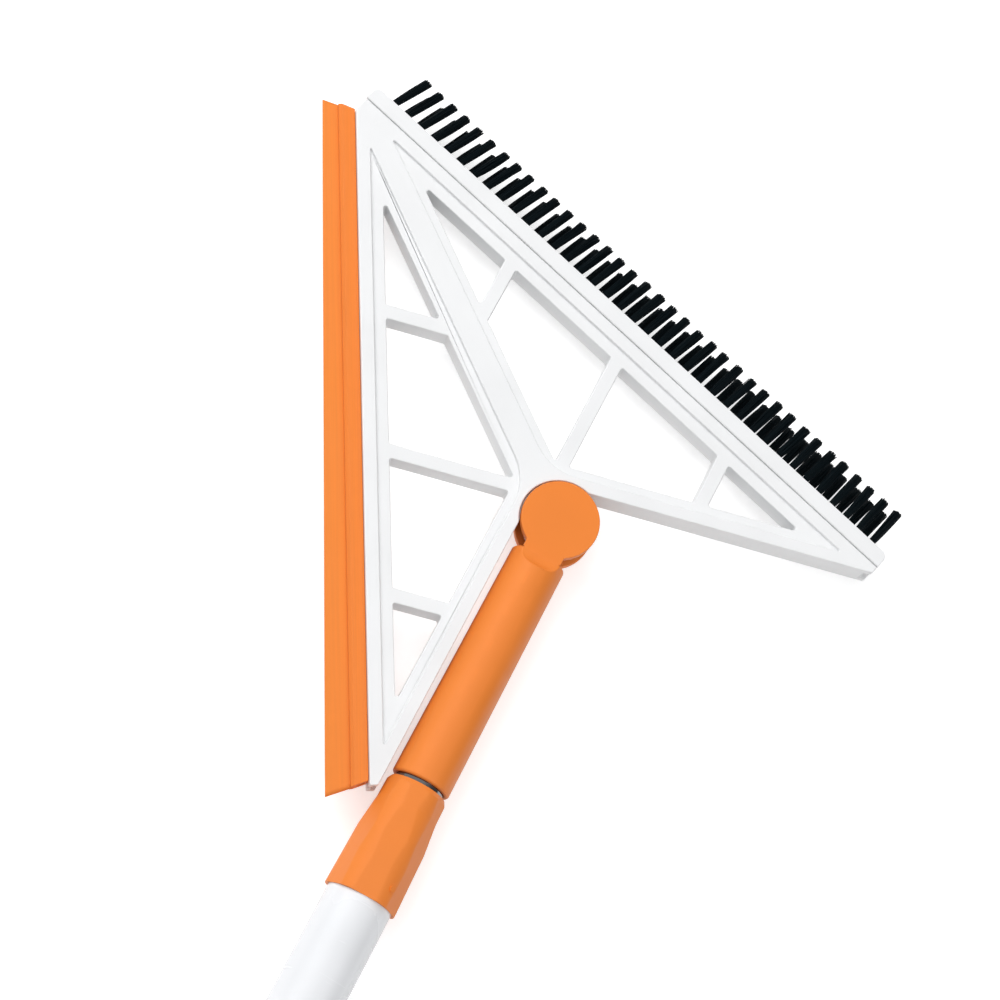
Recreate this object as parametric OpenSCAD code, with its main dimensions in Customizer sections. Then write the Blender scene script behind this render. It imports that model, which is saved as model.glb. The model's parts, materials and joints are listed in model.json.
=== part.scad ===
// Window cleaning squeegee: a flat triangular head that carries a rubber blade along one long side
// and a bristle brush along the other, swivelling on a telescopic pole with a twist lock.
// The pole lies along +Y, the head's front face looks along +Z, and the origin is the hang hole.

/* [Head] */
// Angle between the head's spine and each of its two long sides, in degrees
side_lean = 23; // [21:0.5:26]
// Distance from the pivot to the inner edge of each long rail
side_reach = 60.7; // [50:0.1:74]
// Width of each long rail, from the openings to its outer face
rail_w = 9.6; // [8:0.1:12]
// Width of the square-cut lower end of each rail, beyond the arm that runs into it
foot_w = 2.9; // [2:0.1:5]
// How far the square-cut end of the brush rail lies below the meeting point of the two outer faces
apex_cut = 5.8; // [3:0.1:8]
// Thickness of the head along its raised bands
frame_t = 12; // [10:0.1:15]
// Depth of the low areas below the raised bands, on each face
pocket_depth = 1.4; // [0.6:0.1:1.7]
// Angle between the spine's line and each lower arm, in degrees
arm_lean = 52; // [46:0.5:56]
// Width of each lower arm
arm_w = 8.2; // [6:0.1:10]
// Clearance between an arm that lies along the pole and the widest part beside it
arm_clear = 1.5; // [1:0.1:4]
// Width of the spine where it leaves the hub
spine_hub_w = 16.6; // [14:0.1:26]
// Width of the spine near the apex
spine_tip_w = 16; // [13:0.1:20]
// Width of each cross rib
rib_w = 5.3; // [3:0.1:7]
// Number of cross ribs on each side
rib_count = 3; // [1:1:4]
// Distance between neighbouring ribs along a rail
rib_pitch = 53; // [40:0.1:64]
// Place of the lowest rib along a rail
rib_start = -27.8; // [-36:0.1:-16]
// Corner radius of the openings
opening_r = 0.8; // [0.4:0.1:4]
// Width of the low rim between a rail's raised band and the openings
rail_rim = 4.6; // [3:0.1:5.4]
// Width of the low rim beside the spine and the arms
inner_rim = 3.5; // [1:0.1:4.4]
// Radius of the curve that joins the spine's band to an arm's band
hub_blend_r = 20; // [8:0.5:24]

/* [Rail channels] */
// Width of a channel's mouth
channel_mouth = 3; // [2:0.1:4]
// Width of a channel inside its lips
channel_w = 6.4; // [5:0.1:7.8]
// Thickness of the lips of a channel
channel_lip = 1.6; // [1:0.1:2.2]
// Depth of a channel from the rail's outer face
channel_depth = 4.2; // [3.4:0.1:5.2]
// Wall between the blind tops of the two channels, below the apex
apex_wall = 8.8; // [4:0.1:16]

/* [Blade] */
// Radius of the bead that holds the rubber inside the holder
bead_r = 1.8; // [1.4:0.1:2.4]
// Wall of the holder behind the bead, on the rail's side
bead_back = 0.8; // [0.5:0.1:2]
// Length of the rubber's neck, from the bead's edge to the holder's outer edge
bead_neck = 1.6; // [1:0.1:3]
// Thickness of each jaw of the holder beside the bead
jaw_t = 1.9; // [1.2:0.1:3]
// Bevel along the holder's two outer edges
holder_bevel = 1.2; // [0.4:0.1:1.6]
// How far the holder's top, at the rail, stays below the square-cut end of the brush rail
holder_drop = 1.7; // [0:0.1:4]
// How far the holder's lower end, at the rail, stays above the rail's lower end
foot_rise = 2; // [0:0.1:6]
// Width of the rubber lip outside the holder, at its lower end
lip_w = 8.6; // [5:0.1:14]
// Width of the rubber lip outside the holder, at its top
lip_top_w = 5.6; // [4:0.1:14]
// Thickness of the rubber lip where it leaves the holder
lip_root_t = 2.6; // [1.6:0.1:3.2]
// Thickness of the rubber lip at its wiping edge
lip_edge_t = 1.2; // [0.6:0.1:1.6]
// How far the top of the holder and its rubber leans up, from the rail to the wiping edge
lip_top_lean = 4.6; // [0:0.1:8]
// How far the lower end of the holder and its rubber leans down, from the rail to the wiping edge
foot_lean = 5; // [0:0.1:8]

/* [Brush] */
// Width of the brush block outside the rail
block_w = 6.1; // [5.6:0.1:9]
// Thickness of the brush block
block_t = 13; // [11:0.1:16]
// Radius of the block's outer corners
block_round = 2.7; // [1:0.1:3]
// How far the block's top stands past the square-cut end of the brush rail
block_rise = 0.4; // [0:0.1:4]
// Distance from the block's top to its first tuft
tuft_inset = 8.4; // [3:0.1:12]
// Least distance from the block's foot to its last tuft
tuft_foot = 3.4; // [3:0.1:8]
// Distance between neighbouring tufts
tuft_pitch = 6.65; // [5:0.05:9]
// Radius of a tuft where it leaves the block
tuft_r = 1.4; // [1:0.05:1.8]
// Radius of a tuft at its tip
tuft_tip_r = 2; // [1:0.05:2.1]
// Free length of a tuft
tuft_len = 17.2; // [10:0.2:25]
// Wall between the tufts and the block's front and back faces
row_wall = 0.7; // [0.4:0.1:2]
// Lean of the tuft next to the apex, which fades out along the row, in degrees
tuft_lean = 12; // [0:1:20]
// Wall of the block under the drilled tuft holes
hole_floor = 1.5; // [1:0.1:2.4]

/* [Pivot] */
// Radius of the hub
hub_r = 12.2; // [10.8:0.1:16]
// Thickness of the hub between the handle's ears
hub_t = 7.2; // [6:0.1:8.8]
// Radius of the handle's two round ears
ear_r = 14.35; // [11.9:0.05:17.5]
// Clearance round the ears inside the head's raised bands
ear_clear = 0.65; // [0.3:0.05:2]
// Thickness of each ear
ear_t = 3.1; // [2.5:0.1:4]
// Outer radius of the steel bush that the hub turns on
bush_r = 4; // [3.3:0.1:5]
// Radius of the pivot screw
pivot_screw_r = 2.5; // [2:0.1:3]
// Thickness of each plastic friction washer
washer_t = 0.5; // [0.4:0.1:1]
// Height of the dished spring washer
spring_h = 0.8; // [0.6:0.1:1.2]
// Width of the neck that joins an ear to the handle
neck_w = 15; // [11:0.1:19]

/* [Handle] */
// Clearance between the hub and the handle's shoulder
shoulder_gap = 2.8; // [1:0.1:4]
// Distance from the pivot to the handle's lower end
sleeve_reach = 107.6; // [86:0.1:150]
// Wall of the sleeve at its shoulder
sleeve_top_wall = 1.3; // [1:0.05:2]
// Wall of the sleeve at its lower end
sleeve_end_wall = 1.8; // [1.3:0.05:3]
// Length of solid plastic between the shoulder and the top of the inner tube
plug_len = 17; // [10:0.5:26]
// Radius of the hollows scooped out above the shoulder, in front and behind
scoop_r = 6; // [4:0.1:9]
// Height of the flats over the scooped hollows
scoop_y = 0.4; // [0.2:0.1:6]
// Distance from the pivot to the screw that fixes the sleeve
sleeve_screw_drop = 52; // [42:0.5:66]
// Radius of that screw
sleeve_screw_r = 1.6; // [1.2:0.1:2]

/* [Pole] */
// Outer radius of the inner tube
inner_r = 9; // [7.5:0.05:11]
// Wall of the inner tube
inner_wall = 0.7; // [0.5:0.05:1.2]
// Gap between the inner and the outer tube
tube_gap = 2.4; // [1.8:0.05:3.5]
// Wall of the outer tube
outer_wall = 0.6; // [0.5:0.05:1]
// Length of the outer tube
outer_len = 338; // [280:1:520]
// Gap between the handle and the collar when the pole is closed
closed_gap = 1.6; // [1.3:0.1:4]

/* [Collar] */
// Length of the twist collar
collar_len = 43.2; // [36:0.1:60]
// Wall of the collar over the inner tube, at its bevelled top edge
collar_top_wall = 1.3; // [1.1:0.05:2]
// Wall of the collar over the inner tube, below the bevelled edge
collar_neck_wall = 2.3; // [2.1:0.05:3.5]
// Height of the bevelled top edge
collar_bevel = 1.6; // [0.8:0.1:3]
// Wall of the collar over the outer tube, where its flare ends
collar_flare_wall = 0.6; // [0.5:0.05:2]
// Wall of the collar over the outer tube, at its lower end
collar_end_wall = 1.25; // [1.05:0.05:3]
// Length of the neck above the flare
collar_neck_len = 8.5; // [6:0.1:12]
// Length of the flare
collar_flare_len = 11.5; // [8:0.1:14]
// Number of flat faces round the collar
facet_count = 6; // [5:1:12]
// Depth of the flat faces at the collar's top
facet_depth = 0.75; // [0.3:0.05:1]
// Depth of the flat faces where the flare ends
facet_flare_depth = 0.35; // [0.2:0.05:0.4]
// Depth of the flat faces at the collar's lower end
facet_foot_depth = 0.5; // [0.2:0.05:0.7]
// Depth of the outer tube inside the collar
socket_depth = 12; // [10:0.5:15]

/* [Lock] */
// Radius of the stud that carries the collet and its cone
stud_r = 3.5; // [2.9:0.1:4.2]
// Length of the collet
collet_len = 20; // [16.5:0.5:26]
// Solid top of the collet, above its cone-shaped hollow
collet_hub = 5; // [3:0.1:6]
// Length of the cone
cone_len = 11; // [8:0.1:13.4]
// Travel of the cone over the twist of the pole
cone_travel = 2; // [1.6:0.1:2.4]
// Slope of the cone's side, in degrees
cone_slope = 6; // [4:0.5:8]
// Wall of the collet at the top of its hollow
collet_wall = 3.6; // [2.6:0.1:4.4]
// Space between the foot of the closed inner tube's lock and the end cap
foot_space = 10; // [2:0.5:40]

/* [Grip] */
// Length of the hand grip
grip_len = 112; // [80:1:150]
// Wall of the hand grip over the outer tube
grip_wall = 3; // [2.2:0.1:6]
// Number of grooves round the grip
groove_count = 11; // [4:1:16]
// Depth of each groove
groove_depth = 0.8; // [0.4:0.1:1.4]
// Radius of the hang hole
hang_r = 4; // [2.5:0.1:5]
// Wall round the hang hole
eye_wall = 6; // [3:0.1:8]
// Thickness of the hanging eye
eye_t = 8; // [5:0.1:12]

/* [Fits] */
// Radial clearance of a shaft that turns or slides in its bore
run_gap = 0.05; // [0.02:0.01:0.09]
// Clearance between fixed pieces that are slid or pushed together
slip_gap = 0.1; // [0.05:0.01:0.2]

/* [Hidden] */
$fn = 64;
// Overlap of a cutting tool past the face it cuts, so that no skin is left
past = 1;

// Directions in the head's own frame: the pivot is the centre and the apex lies along +Y
side_n = [cos(side_lean), sin(side_lean)];
side_u = [-sin(side_lean), cos(side_lean)];
arm_n = [cos(arm_lean), sin(arm_lean)];
rib_n = [-cos(arm_lean), sin(arm_lean)];
// Radii of the pole, from the inner tube outwards
bore_r = inner_r + tube_gap;
outer_r = bore_r + outer_wall;
grip_r = outer_r + grip_wall;
sleeve_top_r = inner_r + sleeve_top_wall;
sleeve_end_r = inner_r + sleeve_end_wall;
collar_top_r = inner_r + collar_top_wall;
collar_neck_r = inner_r + collar_neck_wall;
collar_flare_r = outer_r + collar_flare_wall;
collar_end_r = outer_r + collar_end_wall;

// Distances of the rails and arms from the pivot, square to their own length
rail_out = side_reach + rail_w;
band_in = side_reach + rail_rim;
foot_turn = arm_lean - side_lean;
// Largest radius of the handle and the collar beside the lower end of an arm that lies along them
arm_reach = (rail_out - foot_w - (collar_neck_r + arm_clear) * cos(foot_turn)) / sin(foot_turn);
neck_level = sleeve_reach + closed_gap + collar_neck_len;
flare_level = neck_level + collar_flare_len;
skirt_level = sleeve_reach + closed_gap + collar_len;
collar_beside = lookup(arm_reach, [[neck_level, collar_neck_r], [flare_level, collar_flare_r],
                                   [skirt_level, collar_end_r]]);
beside_r = max(sleeve_end_r, collar_beside);
arm_gap = beside_r + arm_clear;
arm_out = arm_gap + arm_w;
web_t = frame_t - 2 * pocket_depth;
rail_foot = ((rail_out - foot_w) * cos(foot_turn) - arm_gap) / sin(foot_turn);
// The spine narrows from the hub to the place where it meets the rails
spine_y0 = 20;
spine_y1 = (side_reach - spine_tip_w / 2 * cos(side_lean)) / sin(side_lean);
spine_a = atan((spine_hub_w - spine_tip_w) / 2 / (spine_y1 - spine_y0));
spine_n = [cos(spine_a), sin(spine_a)];
spine_d = spine_hub_w / 2 * cos(spine_a) + spine_y0 * sin(spine_a);
// Height where the two outer faces would meet, and the place of the brush rail's end along it
apex_y = rail_out / sin(side_lean);
apex_s = rail_out / tan(side_lean) - apex_cut;
channel_top = ((rail_out - channel_depth) * cos(side_lean) - apex_wall / 2) / sin(side_lean);
holder_top = apex_s - holder_drop;
block_top = apex_s + block_rise;
recess_r = ear_r + ear_clear;

// Heights of the hinge stack, from the front ear down to the rear ear
front_ear_z = hub_t / 2 + washer_t;
rear_ear_z = -hub_t / 2 - washer_t - spring_h;
nut_t = 2.2;
nut_r = pivot_screw_r + 2.1;
screw_head_r = pivot_screw_r + 1.9;
screw_head_h = 2.4;
screw_seat = 1.5;
// Width and depth of the cross slot in a screw's head, and the bevel round the head
slot_w = 1;
slot_depth = 1.3;
head_bevel = 1;
// Clearance between a screw's head and the hole it sinks into
head_gap = 0.3;
// Clearance of a screw in the hole that its thread bites
thread_gap = 0.02;

// Levels along the pole, counted from the hang hole
eye_r = hang_r + eye_wall;
cap_flange_y = eye_r + 2;
cap_flange_t = 4;
cap_plug_len = 24;
outer_y = cap_flange_y + cap_flange_t;
outer_top = outer_y + outer_len;
bush_len = 20;
bush_flange_t = 2;
collar_y = outer_top - socket_depth;
collar_top = collar_y + collar_len;
sleeve_y = collar_top + closed_gap;
pivot_y = sleeve_y + sleeve_reach;
shoulder = hub_r + shoulder_gap;
inner_top = pivot_y - shoulder - plug_len;
stud_flange_t = 3;
stud_nut_t = 4;
stud_nut_w = 3;
stud_tail = 1;
stud_plug = 18;
stud_end = outer_y + cap_plug_len + foot_space;
cone_y = stud_end + stud_tail + stud_nut_t + cone_travel;
collet_y = cone_y + cone_travel;
inner_y = collet_y + collet_len + stud_flange_t;
inner_len = inner_top - inner_y;
cone_clear = 0.06;
cone_top_r = bore_r - collet_wall;
sleeve_screw_y = pivot_y - sleeve_screw_drop;
sleeve_screw_head = sleeve_screw_r + 1.5;
sleeve_screw_seat = 1;
pin_r = 1.1;
pin_turn = 35;
pin_rise = 0.2;
pin_y = collar_y + 6.5;

// Point at distance d outside the pivot and s along a rail, towards the apex
function on_side(d, s) = d * side_n + s * side_u;

// Meeting point of two lines, each given by its normal and its distance from the pivot
function meet(n1, d1, n2, d2) =
    let (k = n1[0] * n2[1] - n1[1] * n2[0])
    [(d1 * n2[1] - d2 * n1[1]) / k, (n1[0] * d2 - n2[0] * d1) / k];

// Corners of a polygon replaced by arcs, each no longer than its sides allow
function round_corner(p, a, b, r, steps = 6) =
    let (u = (a - p) / norm(a - p), v = (b - p) / norm(b - p),
         half = acos(min(1, max(-1, u * v))) / 2,
         t = min(r / tan(half), 0.45 * norm(a - p), 0.45 * norm(b - p)),
         c = p + (u + v) / norm(u + v) * t / cos(half),
         m0 = p + u * t - c, m1 = p + v * t - c,
         a0 = atan2(m0[1], m0[0]), turn = atan2(m1[1], m1[0]) - a0,
         short = turn > 180 ? turn - 360 : turn < -180 ? turn + 360 : turn)
    [for (i = [0:steps]) c + norm(m0) * [cos(a0 + short * i / steps), sin(a0 + short * i / steps)]];
function round_corners(pts, radii) =
    let (n = len(pts))
    [for (i = [0:n - 1]) each round_corner(pts[i], pts[(i + n - 1) % n], pts[(i + 1) % n], radii[i])];

// Part of a polygon that lies below a line, given by its normal and its distance from the pivot
function clip(pts, n, d) =
    [for (i = [0:len(pts) - 1])
        let (a = pts[i], b = pts[(i + 1) % len(pts)], da = n * a - d, db = n * b - d)
        each concat(da <= 0 ? [a] : [], da * db < 0 ? [a + (b - a) * da / (da - db)] : [])];

// Distance of rib number i from the pivot, along the rib's normal
function rib_d(i) = rib_n * on_side(side_reach, rib_start + i * rib_pitch);
rib_half = rib_w / 2;

// The open area on the right side of the head, which the ribs divide into its openings
window = [meet(spine_n, spine_d, side_n, side_reach), meet(side_n, side_reach, arm_n, arm_out),
          meet(arm_n, arm_out, spine_n, spine_d)];
function above_rib(pts, i) = i < 0 ? pts : clip(pts, -rib_n, -rib_d(i) - rib_half);
function below_rib(pts, i) = i >= rib_count ? pts : clip(pts, rib_n, rib_d(i) - rib_half);
openings = [for (i = [0:rib_count]) let (o = below_rib(above_rib(window, i - 1), i)) if (len(o) > 2) o];
// The low area on the right side of the head, between the raised bands
pocket = [meet(spine_n, spine_d - inner_rim, side_n, band_in),
          meet(side_n, band_in, arm_n, arm_out - inner_rim),
          meet(arm_n, arm_out - inner_rim, spine_n, spine_d - inner_rim)];
wedge_r = 0.3;
// The right half of the head's outline, from the apex round the arm to the middle of the hub
half_outline = [[0, apex_y], on_side(rail_out, -rail_foot),
                meet(side_u, -rail_foot, arm_n, arm_gap), arm_gap * arm_n, [0, 0]];

// Places a piece of the head on the pivot, swung so that one arm lies along the handle
module on_head() translate([0, pivot_y, 0]) rotate(arm_lean) children();

// Local frame of a rail: +X points outwards and +Y runs to the apex
module on_brush_side() on_head() rotate(side_lean) children();
module on_blade_side() on_head() mirror([1, 0, 0]) rotate(side_lean) children();

// A solid of revolution standing along the pole, with its foot at level y
module along_pole(y) translate([0, y, 0]) rotate([-90, 0, 0]) children();
module ring(r_out, r_in, h) difference() {
    cylinder(r = r_out, h = h);
    translate([0, 0, -past]) cylinder(r = r_in, h = h + 2 * past);
}
module slab(pts, t) translate([0, 0, -t / 2]) linear_extrude(t) polygon(pts);

// The channel along a rail's outer face, and the tongue of a strip that slides into it
module channel() {
    translate([rail_out - channel_lip - past, -rail_foot - past, -channel_mouth / 2])
        cube([channel_lip + 2 * past, channel_top + rail_foot + past, channel_mouth]);
    translate([rail_out - channel_depth, -rail_foot - past, -channel_w / 2])
        cube([channel_depth - channel_lip, channel_top + rail_foot + past, channel_w]);
}
tongue_in = rail_out - channel_depth + slip_gap;
tongue_foot = min(rail_foot - foot_rise, (tongue_in * cos(foot_turn) - arm_gap) / sin(foot_turn));
tongue_len = channel_top + tongue_foot - slip_gap;
module tongue() translate([tongue_in, -tongue_foot, 0]) {
    translate([0, 0, -channel_mouth / 2 + slip_gap])
        cube([channel_depth, tongue_len, channel_mouth - 2 * slip_gap]);
    translate([0, 0, -channel_w / 2 + slip_gap])
        cube([channel_depth - channel_lip - 2 * slip_gap, tongue_len, channel_w - 2 * slip_gap]);
}

// White moulded head: raised bands round eight openings, a channel along each outer face and a hub
module head_frame() color("white") difference() {
    on_head() difference() {
        union() {
            difference() {
                for (m = [0, 1]) mirror([m, 0, 0]) slab(half_outline, frame_t);
                for (z = [1, -1]) translate([0, 0, z * (hub_t / 2 + frame_t)])
                    cylinder(r = recess_r, h = 2 * frame_t, center = true);
                for (m = [0, 1], z = [0, 1]) mirror([m, 0, 0]) mirror([0, 0, z])
                    translate([0, 0, web_t / 2]) linear_extrude(frame_t)
                        polygon(round_corners(pocket, [wedge_r, wedge_r, hub_blend_r]));
            }
            cylinder(r = hub_r, h = hub_t, center = true);
        }
        for (m = [0, 1], o = openings) mirror([m, 0, 0])
            slab(round_corners(o, [for (p = o) opening_r]), 2 * frame_t);
        cylinder(r = bush_r + run_gap, h = 2 * frame_t, center = true);
    }
    on_brush_side() translate([0, apex_s, -frame_t]) cube([rail_out + past, apex_cut + past, 2 * frame_t]);
    on_brush_side() channel();
    on_blade_side() channel();
}

// Stiff orange strip that slides into the blade side's channel and grips the rubber
holder_in = rail_out + slip_gap;
holder_t = 2 * (bead_r + slip_gap + jaw_t);
bead_x = holder_in + bead_back + bead_r;
holder_edge = bead_x + bead_r + bead_neck;
lip_edge = holder_edge + lip_w;
lip_top_edge = holder_edge + lip_top_w;
// Levels of the leaning ends, at distance d from the pivot
function lean_foot(d) = foot_rise - rail_foot - foot_lean * (d - holder_in) / (lip_edge - holder_in);
function lean_top(d) = holder_top + lip_top_lean * (d - holder_in) / (lip_top_edge - holder_in);
strip_len = holder_top + rail_foot + lip_top_lean + foot_lean;
// A shape seen along the blade's rail, carried on past both of the strip's ends
module along_strip() translate([0, holder_top + lip_top_lean + past, 0]) rotate([90, 0, 0])
    linear_extrude(strip_len + 2 * past) children();
module blade_holder() color("darkorange") on_blade_side() difference() {
    union() {
        intersection() {
            translate([0, 0, -holder_t]) linear_extrude(2 * holder_t)
                polygon([[holder_in, lean_foot(holder_in)], [holder_edge, lean_foot(holder_edge)],
                         [holder_edge, lean_top(holder_edge)], [holder_in, holder_top]]);
            along_strip() polygon([[holder_in, -holder_t / 2], [holder_edge - holder_bevel, -holder_t / 2],
                                   [holder_edge, -holder_t / 2 + holder_bevel],
                                   [holder_edge, holder_t / 2 - holder_bevel],
                                   [holder_edge - holder_bevel, holder_t / 2], [holder_in, holder_t / 2]]);
        }
        tongue();
    }
    blade_root(slip_gap);
}

// Bead and neck of the rubber inside its holder, with the same shape for the groove that takes them
module blade_root(gap) along_strip() {
    translate([bead_x, 0]) circle(r = bead_r + gap);
    translate([bead_x, -lip_root_t / 2 - gap]) square([holder_edge - bead_x + gap, lip_root_t + 2 * gap]);
}

// Soft orange wiping lip, thinner towards its edge and wider towards its foot, with leaning ends
module rubber_blade() color("orange") on_blade_side() intersection() {
    union() {
        blade_root(0);
        along_strip() polygon([[holder_edge, -lip_root_t / 2], [lip_edge, -lip_edge_t / 2],
                               [lip_edge, lip_edge_t / 2], [holder_edge, lip_root_t / 2]]);
    }
    translate([0, 0, -holder_t]) linear_extrude(2 * holder_t)
        polygon([[holder_in, lean_foot(holder_in)], [lip_edge, lean_foot(lip_edge)],
                 [lip_top_edge, lean_top(lip_top_edge)], [holder_in, holder_top]]);
}

// Places of the tufts: two rows, with each rear tuft halfway between two front ones
block_edge = rail_out + slip_gap + block_w;
row_gap = block_t - 2 * (tuft_r + row_wall);
tuft_hole = block_w - hole_floor;
tuft_first = block_top - tuft_inset;
tuft_count = floor((tuft_first + rail_foot - tuft_foot) / tuft_pitch) + 1;
function tuft_s(i, row) = tuft_first - (i + (row == 0 ? 0 : 0.5)) * tuft_pitch;
function tuft_turn(i, row) = -tuft_lean * (tuft_s(i, row) + rail_foot) / (tuft_first + rail_foot);
module on_tuft(i, row) translate([block_edge, tuft_s(i, row), (row == 0 ? 0.5 : -0.5) * row_gap])
    rotate(tuft_turn(i, row)) rotate([0, 90, 0]) children();
anchor_h = 1.2;
anchor_t = 0.5;
anchor_w = 1.7 * tuft_r;
module tuft_row(row) for (i = [0:tuft_count - 1 - row]) on_tuft(i, row) {
    translate([0, 0, -tuft_hole + anchor_h]) cylinder(r = tuft_r, h = tuft_hole - anchor_h, $fn = 24);
    cylinder(r1 = tuft_r, r2 = tuft_tip_r, h = tuft_len, $fn = 24);
}

// White strip that slides into the brush side's channel, drilled for the tufts
block_in = rail_out + slip_gap;
inner_round = 0.2;
module brush_block() color("white") on_brush_side() difference() {
    union() {
        translate([0, 0, -block_t / 2]) linear_extrude(block_t)
            polygon(round_corners([[block_in, -rail_foot], [block_edge, -rail_foot],
                                   [block_edge, block_top], [block_in, block_top]],
                                  [inner_round, block_round, block_round, inner_round]));
        tongue();
    }
    for (row = [0, 1], i = [0:tuft_count - 1 - row]) on_tuft(i, row)
        translate([0, 0, -tuft_hole]) cylinder(r = tuft_r, h = tuft_hole + past, $fn = 24);
}
module bristles_front() color("black") on_brush_side() tuft_row(0);
module bristles_rear() color("black") on_brush_side() tuft_row(1);

// Wire anchors that pin each folded tuft to the bottom of its hole
module tuft_anchors() color("silver") on_brush_side()
    for (row = [0, 1], i = [0:tuft_count - 1 - row]) on_tuft(i, row)
        translate([-anchor_t / 2, -anchor_w / 2, -tuft_hole]) cube([anchor_t, anchor_w, anchor_h]);

// Orange handle: two round ears on narrow necks, then a slightly flared sleeve over the inner tube
sleeve_len = sleeve_reach - shoulder;
edge_r = 0.6;
module handle_sleeve() color("darkorange") difference() {
    union() {
        along_pole(sleeve_y) rotate_extrude()
            polygon([[0, 0], [sleeve_end_r - edge_r, 0], [sleeve_end_r, edge_r],
                     [sleeve_top_r, sleeve_len - edge_r], [sleeve_top_r - edge_r, sleeve_len],
                     [0, sleeve_len]]);
        for (z = [front_ear_z, rear_ear_z - ear_t]) translate([0, pivot_y, z]) {
            cylinder(r = ear_r, h = ear_t);
            translate([-neck_w / 2, -shoulder - scoop_y, 0]) cube([neck_w, shoulder + scoop_y, ear_t]);
        }
    }
    // Flats and scoops that bring the round sleeve down to the faces of the ears
    for (z = [front_ear_z + ear_t, rear_ear_z - ear_t]) translate([0, pivot_y - shoulder - scoop_y, 0]) {
        translate([-ear_r, 0, z > 0 ? z : z - ear_r]) cube([2 * ear_r, scoop_y + past, ear_r]);
        translate([0, 0, z + sign(z) * scoop_r]) rotate([0, 90, 0])
            cylinder(r = scoop_r, h = 2 * ear_r, center = true);
    }
    along_pole(sleeve_y - past) cylinder(r = inner_r + slip_gap / 2, h = inner_top - sleeve_y + past);
    // Screw hole and nut pocket of the pivot
    translate([0, pivot_y, 0]) {
        translate([0, 0, rear_ear_z - ear_t - past])
            cylinder(r = pivot_screw_r + slip_gap, h = ear_t + 2 * past);
        translate([0, 0, rear_ear_z - ear_t - past])
            cylinder(r = screw_head_r + head_gap, h = screw_seat + past);
        translate([0, 0, front_ear_z - past]) cylinder(r = nut_r + slip_gap, h = nut_t + past, $fn = 6);
    }
    translate([0, sleeve_screw_y, -sleeve_end_r - past])
        cylinder(r = sleeve_screw_r + slip_gap, h = sleeve_end_r);
    translate([0, sleeve_screw_y, -sleeve_end_r - past])
        cylinder(r = sleeve_screw_head + head_gap, h = past + sleeve_screw_seat);
}

// Round screw head with a cross slot, standing under z = 0
module screw_head(r, h) difference() {
    union() {
        translate([0, 0, -h]) cylinder(r1 = r - head_bevel, r2 = r, h = head_bevel);
        translate([0, 0, head_bevel - h]) cylinder(r = r, h = h - head_bevel);
    }
    for (a = [0, 90]) rotate(a) translate([0, 0, -h])
        cube([2 * (r - head_bevel), slot_w, 2 * slot_depth], center = true);
}

// Screw that fixes the sleeve to the inner tube, from behind
sleeve_screw_len = 4;
sleeve_head_h = 1.9;
module sleeve_screw() color("silver")
    translate([0, sleeve_screw_y, -sleeve_end_r + sleeve_screw_seat]) {
        screw_head(sleeve_screw_head, sleeve_head_h);
        cylinder(r = sleeve_screw_r, h = sleeve_screw_len);
    }

// Steel bush between the ears, which the hub turns on
module pivot_bush() color("silver") translate([0, pivot_y, rear_ear_z])
    ring(bush_r, pivot_screw_r + slip_gap, front_ear_z - rear_ear_z);

// Pivot screw, put in from behind, and the nut hidden inside the front ear
head_seat_z = rear_ear_z - ear_t + screw_seat;
module pivot_screw() color("silver") translate([0, pivot_y, head_seat_z]) {
    screw_head(screw_head_r, screw_head_h);
    cylinder(r = pivot_screw_r, h = front_ear_z + nut_t - head_seat_z);
}
module pivot_nut() color("silver") translate([0, pivot_y, front_ear_z]) difference() {
    cylinder(r = nut_r, h = nut_t, $fn = 6);
    translate([0, 0, -past]) cylinder(r = pivot_screw_r + thread_gap, h = nut_t + 2 * past);
}

// Plastic friction washers on both faces of the hub, and the dished steel washer that loads them
washer_r = hub_r - 2.2;
module front_washer() color("ivory") translate([0, pivot_y, hub_t / 2])
    ring(washer_r, bush_r + slip_gap, washer_t);
module rear_washer() color("ivory") translate([0, pivot_y, -hub_t / 2 - washer_t])
    ring(washer_r, bush_r + slip_gap, washer_t);
spring_t = 0.4;
spring_r = washer_r - 1;
spring_flat = 1;
module spring_washer() color("silver") translate([0, pivot_y, rear_ear_z]) rotate_extrude()
    polygon([[bush_r + slip_gap, 0], [bush_r + spring_flat, 0], [spring_r, spring_h - spring_t],
             [spring_r, spring_h], [spring_r - spring_flat, spring_h], [bush_r + slip_gap, spring_t]]);

// Polished tube that joins the handle to the lock
module inner_tube() color("silver") difference() {
    along_pole(inner_y) ring(inner_r, inner_r - inner_wall, inner_len);
    translate([0, sleeve_screw_y, -inner_r - past]) cylinder(r = sleeve_screw_r + thread_gap, h = 2 * past);
}

// Stud pressed into the foot of the inner tube; the collet and the cone ride on it
module lock_stud() color("dimgray") {
    along_pole(inner_y) cylinder(r = inner_r - inner_wall - slip_gap / 2, h = stud_plug);
    along_pole(inner_y - stud_flange_t) cylinder(r = inner_r, h = stud_flange_t);
    along_pole(stud_end) cylinder(r = stud_r, h = inner_y - stud_flange_t - stud_end);
}
module stud_nut() color("silver") along_pole(stud_end) difference() {
    translate([0, 0, stud_tail]) cylinder(r = stud_r + stud_nut_w, h = stud_nut_t, $fn = 6);
    translate([0, 0, -past]) cylinder(r = stud_r + thread_gap, h = stud_nut_t + stud_tail + 2 * past);
}

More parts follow.
